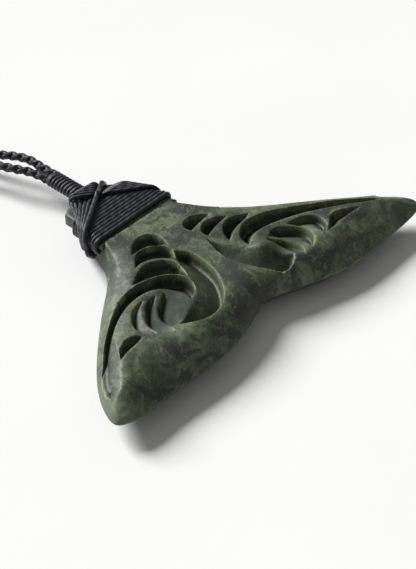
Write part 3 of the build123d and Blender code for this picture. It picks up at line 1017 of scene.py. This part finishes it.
def add_stone(material):
    """The stone: its side in rings, from the back land up to the carved face, and its stem."""
    loop = outline_loop()
    count = len(loop)
    face_rings, back_rings = face_side(loop), back_side(loop)
    face, triangles, border, values = carved_face(face_rings)
    side = np.concatenate((back_rings[::-1], face_rings[1:face_start]))
    faces = ring_faces(len(side), count)
    offset = len(side) * count
    below = offset - count
    for j in range(count):
        i = (j + 1) % count
        faces.append((below + j, below + i, offset + border[i], offset + border[j]))
    faces += [tuple(index + offset for index in triangle) for triangle in triangles]

    land, triangles, border = back_net(back_rings[-1, :, :2])
    numbers = offset + len(face) + np.arange(len(land))
    for origin, number in border.items():
        numbers[number] = origin
    faces += [tuple(int(numbers[index]) for index in triangle) for triangle in triangles]
    land = np.column_stack((land, np.zeros(len(land))))

    stem, stem_faces = stem_shell()
    before = offset + len(face) + len(land)
    faces += [tuple(index + before for index in corners) for corners in stem_faces]
    points = np.concatenate((side.reshape(-1, 3), face, land, stem))
    after = len(points) - offset - len(face)
    values = {key: np.pad(row, (offset, after)) for key, row in values.items()}
    clean(add_piece("carved_stone", points, faces, material, "whale_tail", values).data)


def route_line(side, route):
    """The smooth line of one leg of the cord, with its route as control points, read back in millimetres."""
    curve = bpy.data.curves.new(f"route_{side}", "CURVE")
    curve.dimensions = "3D"
    curve.resolution_u = 24
    spline = curve.splines.new("NURBS")
    spline.points.add(len(route) - 1)
    for point, place in zip(spline.points, route):
        point.co = (*place, 1)
    spline.order_u = 3
    spline.use_endpoint_u = True
    holder = bpy.data.objects.new(curve.name, curve)
    mesh = bpy.data.meshes.new_from_object(holder)
    line = np.array([vertex.co[:] for vertex in mesh.vertices]) / MM
    bpy.data.objects.remove(holder)
    return line


def plait(line):
    """Four strands in a round plait along a line: two turn one way and two the other, over and under."""
    line = even_steps(line, plait_step)
    along = unit(np.gradient(line, axis=0))
    across = unit(np.cross(along, (0, 0, 1)))
    up = np.cross(across, along)
    travelled = np.arange(len(line)) * plait_step
    phase = 2 * pi * travelled / plait_lead
    threads = []
    for way in (1, -1):
        for half in (0, 1):
            turn = way * phase + half * pi + (0 if way > 0 else pi / 2)
            out = np.cos(turn)[:, None] * across + np.sin(turn)[:, None] * up
            reach = plait_radius + way * plait_weave * np.sin(2 * phase)
            threads.append(tube(line + reach[:, None] * out, out, plait_strand))
    threads.append(tube(line, up, plait_core, sides=6))
    return threads


def add_cord(side, route, material):
    """One leg of the neck cord, a plait along its route."""
    line = route_line(side, route)
    cord = add_threads(f"{side}_leg_plait", plait(line), material, f"neck_cord_{side}")


def add_whipping(material):
    """Thread wound round both legs of the cord, over a core that closes the gaps between its turns."""
    middle = stem_underside + (stem_end_top - stem_underside) / 2
    start = whipping_start + 2 * whipping_strand
    end = whipping_start + whipping_length - whipping_strand
    turns = (end - start) / whipping_pitch
    count = int(turns * whipping_steps)
    turn = np.linspace(0, turns * 2 * pi, count)
    half = np.array((whipping_width / 2, whipping_thickness / 2)) - whipping_strand
    across, up = half[0] * np.cos(turn) + whipping_x, half[1] * np.sin(turn) + middle
    out = np.column_stack((np.cos(turn), np.zeros(count), np.sin(turn)))
    path = np.column_stack((across, np.linspace(start, end, count), up))
    wound = tube(path, out, whipping_strand, sides=10)

    along = np.linspace(whipping_start + clearance, end + whipping_strand - 2 * clearance, core_steps)
    across, up = half + whipping_core_growth
    core = tube([(whipping_x, y, middle) for y in along], (0, 0, 1), up, sides=24)
    core[0][:, 0] = whipping_x + (core[0][:, 0] - whipping_x) * across / up
    add_threads("whipping_thread", [wound, core], material, "cord_whipping")


def add_binding(material):
    """The band of thread round the stem, one long helix."""
    path, out = [], []
    for turns in np.arange((wraps - 1) * binding_steps + 1) / binding_steps:
        y = binding_start + thread / 2 + thread * turns
        points, ways = stem_ring([turns], y, clearance + thread / 2)
        path.append(points[0] + (0, binding_slant * points[0, 0], 0))
        out.append(ways[0])
    helix = tube(path, np.array(out), binding_strand)
    add_threads("binding_thread", [helix], material, "stem_binding")


def beneath(y):
    """How far the lashings are held off the stem by the band at y."""
    return float(np.interp(y, (binding_end, binding_end + slope_length), (layer, 0)))


def stem_crossing(x, y, angle, size):
    """Where a line in plan meets the two sides, or the end, of what a turn of thread lies on."""
    left, right = [], []
    for v in np.linspace(STEM[0][0], stem_end, stem_samples):
        reach = beneath(v) + clearance + size
        left.append((-stem_size(v)[0] - reach, v))
        right.append((stem_size(v)[1] + reach, v))
    end = stem_end + clearance + size
    edge = np.array((*left, (left[-1][0], end), (right[-1][0], end), *right[::-1]))
    along = np.array((cos(radians(angle)), sin(radians(angle))))
    off = (edge - (x, y)) @ (-along[1], along[0])
    met = []
    for k in np.flatnonzero(off[:-1] * off[1:] <= 0):
        met.append(edge[k] + off[k] / (off[k] - off[k + 1]) * (edge[k + 1] - edge[k]))
    met.sort(key=lambda place: place @ along)
    return met[0], met[-1]


def past(turn, x, y):
    """How far a place in plan lies past a turn of a lashing, on the side of the cord."""
    u, v, angle = turn[:3]
    return (y - v) * cos(radians(angle)) - (x - u) * sin(radians(angle))


def on_band(x, y):
    """The inner turns of the over lashing lie straight on the band and the stem."""
    return 0.0


def on_inner_turns(x, y):
    """The under lashing climbs onto the inner turns once it is past the edge turn."""
    return layer * float(ease((past(EDGE_TURN, x, y) - under_climb_start) / under_climb))


def on_all_turns(x, y):
    """The edge turn climbs over the under lashing where they cross."""
    begin, end = past(UNDER_TURNS[0], x, y), past(UNDER_TURNS[-1], x, y)
    up, down = ease((begin - edge_climb_start) / edge_climb), ease((edge_climb - end) / edge_climb)
    return edge_rise * layer * float(up * down)


def lashing_turn(x, y, angle, thickness, lift):
    """One closed turn of thread across the stem; lift is how far other turns hold it off at a place.

    Each half of the turn goes round a corner as wide as what lies beneath it there.
    """
    size = thickness * thread / 2
    start, end = stem_crossing(x, y, angle, size)
    middle, reach = (start + end) / 2, (end - start) / 2
    along = reach / np.linalg.norm(reach)
    top = stem_size(middle[1])[2]
    path, out = [], []
    for place in np.arange(lashing_steps) / lashing_steps:
        far = end if place < 0.5 else start
        held = beneath(far[1]) + clearance + size
        half = reach[0] - held
        bevel = min(stem_bevel(middle[1]), lashing_bevel * half)
        places, ways = section([place], half, half, stem_underside, top, bevel, stem_upper_radius, held)
        (across, z), (side, up) = places[0], ways[0]
        share = (z - stem_underside + held) / (top - stem_underside + 2 * held)
        u, v = middle + across / reach[0] * reach
        grow = beneath(v) + clearance + size + lift(u, v)
        under, over = stem_underside - grow, stem_size(v)[2] + grow
        path.append((u, v - lashing_lean * (1 - share), under + share * (over - under)))
        out.append((side * along[0], side * along[1], up))
    return tube(path, np.array(out), size, endless=True)


def add_lashings(material):
    """The two bundles of turns that cross on the head of the stem."""
    over = [lashing_turn(*turn, on_band) for turn in INNER_TURNS] + [lashing_turn(*EDGE_TURN, on_all_turns)]
    under = [lashing_turn(*turn, on_inner_turns) for turn in UNDER_TURNS]
    add_threads("lashing_over_thread", over, material, "lashing_over")
    add_threads("lashing_under_thread", under, material, "lashing_under")


def add_clasp(material):
    """The barrel clasp that closes the cord, turned, with a rim at each end and one in the middle."""
    rim = clasp_diameter / 2
    neck = rim - clasp_rim_height
    end, middle = clasp_length / 2, clasp_rim_width / 2
    inner = end - clasp_rim_width
    soft = clasp_edge / 3
    half = (
        (end, rim - clasp_edge), (end - soft, rim - soft), (end - clasp_edge, rim),
        (inner + clasp_edge, rim), (inner + soft, rim - soft), (inner, neck),
        (middle, neck), (middle - soft, rim - soft), (middle - clasp_edge, rim),
    )
    profile = np.array([(-x, radius) for x, radius in half] + list(half[::-1]))
    path = [(clasp_x + x, clasp_y, rim) for x, _ in profile]
    points, faces, _ = tube(path, (0, 0, 1), profile[:, 1], sides=48)
    barrel = add_piece("turned_clasp", points, faces, material, "clasp")
    barrel.data.set_sharp_from_angle(angle=radians(sharp_angle))
    return barrel


def add_floor(material):
    """The pale table that the pendant lies on."""
    mesh = bpy.data.meshes.new("table_top")
    corners = [(x * table_half, y * table_half, 0) for x, y in ((-1, -1), (1, -1), (1, 1), (-1, 1))]
    mesh.from_pydata(corners, [], [(0, 1, 2, 3)])
    mesh.materials.append(material)
    floor = add_object("table_top", mesh)


def add_light():
    """Bright soft light from behind the stem, low enough for the stone's shadow to fall in front of it."""
    sun = bpy.data.lights.new("window_light", "SUN")
    sun.energy = sun_strength
    sun.angle = radians(sun_softness)
    holder = add_object("window_light", sun)
    holder.rotation_euler = Vector(sun_travel).to_track_quat("-Z", "Y").to_euler()
    world = bpy.data.worlds.new("room")
    world.use_nodes = True
    background = world.node_tree.nodes["Background"]
    background.inputs["Color"].default_value = ROOM_LIGHT
    background.inputs["Strength"].default_value = room_strength
    bpy.context.scene.world = world
    bpy.context.scene.view_settings.view_transform = "Standard"


add_camera()
clasp = add_clasp(clasp_metal())
plaited_cord = thread_look("plaited_cord", 1.4, CORD_SHADES, 0.40)
add_cord("left", LEFT_ROUTE, plaited_cord)
add_cord("right", RIGHT_ROUTE, plaited_cord)
waxed_thread = thread_look("waxed_thread", 1.9, THREAD_SHADES, 0.36)
add_whipping(waxed_thread)
add_binding(waxed_thread)
add_lashings(waxed_thread)
add_stone(greenstone())
add_floor(table_paint())
add_light()
